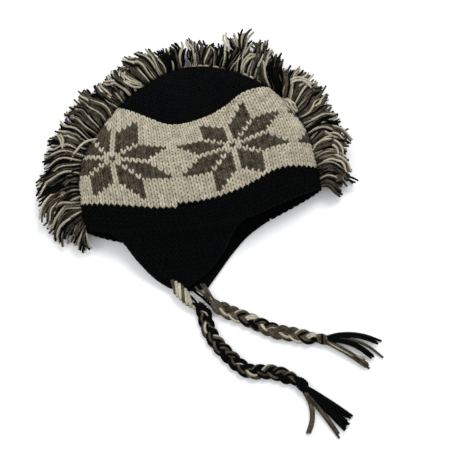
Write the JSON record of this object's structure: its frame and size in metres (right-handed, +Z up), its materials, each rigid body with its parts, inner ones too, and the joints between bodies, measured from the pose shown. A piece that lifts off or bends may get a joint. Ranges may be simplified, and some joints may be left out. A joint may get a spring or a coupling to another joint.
{
  "type": "chullo hat",
  "caption": "Knitted wool earflap hat lying folded on its side, with a star band, a yarn fringe over the crown and braided ties.",
  "frame": {"origin": "on the flat face of the under wall that the hat lies on, near the middle of the band", "axes": "+Z up from the surface it lies on, +Y towards the crown, -Y out of the head opening and along the ties, +X along the rim"},
  "size_m": [0.3588, 0.4746, 0.0561],
  "materials": {
    "black_wool": "matte hand-knitted wool yarn",
    "cream_wool": "matte hand-knitted wool yarn, oatmeal",
    "brown_wool": "matte wool yarn, heathered taupe brown",
    "mixed_wool": "loose wool yarn in cream, taupe brown and black"
  },
  "bodies": {
    "root": {"rim_band": "black_wool", "star_band": "cream_wool", "crown": "black_wool", "ear_flap_upper": "black_wool", "ear_flap_under": "black_wool", "fringe_tuft_01": "mixed_wool", "fringe_tuft_02": "mixed_wool", "fringe_tuft_03": "mixed_wool", "fringe_tuft_04": "mixed_wool", "fringe_tuft_05": "mixed_wool", "fringe_tuft_06": "mixed_wool", "fringe_tuft_07": "mixed_wool", "fringe_tuft_08": "mixed_wool", "fringe_tuft_09": "mixed_wool", "fringe_tuft_10": "mixed_wool", "fringe_tuft_11": "mixed_wool", "fringe_tuft_12": "mixed_wool", "fringe_tuft_13": "mixed_wool", "fringe_tuft_14": "mixed_wool", "fringe_tuft_15": "mixed_wool", "fringe_tuft_16": "mixed_wool", "fringe_tuft_17": "mixed_wool", "fringe_tuft_18": "mixed_wool", "fringe_tuft_19": "mixed_wool", "fringe_tuft_20": "mixed_wool", "fringe_tuft_21": "mixed_wool", "fringe_tuft_22": "mixed_wool", "fringe_tuft_23": "mixed_wool", "fringe_tuft_24": "mixed_wool", "fringe_tuft_25": "mixed_wool", "fringe_tuft_26": "mixed_wool", "tie_loops_upper": "cream_wool", "braid_upper": "mixed_wool", "knot_upper": "brown_wool", "tassel_upper": "mixed_wool", "tie_loops_under": "cream_wool", "braid_under": "mixed_wool", "knot_under": "brown_wool", "tassel_under": "mixed_wool"}
  },
  "joints": []
}
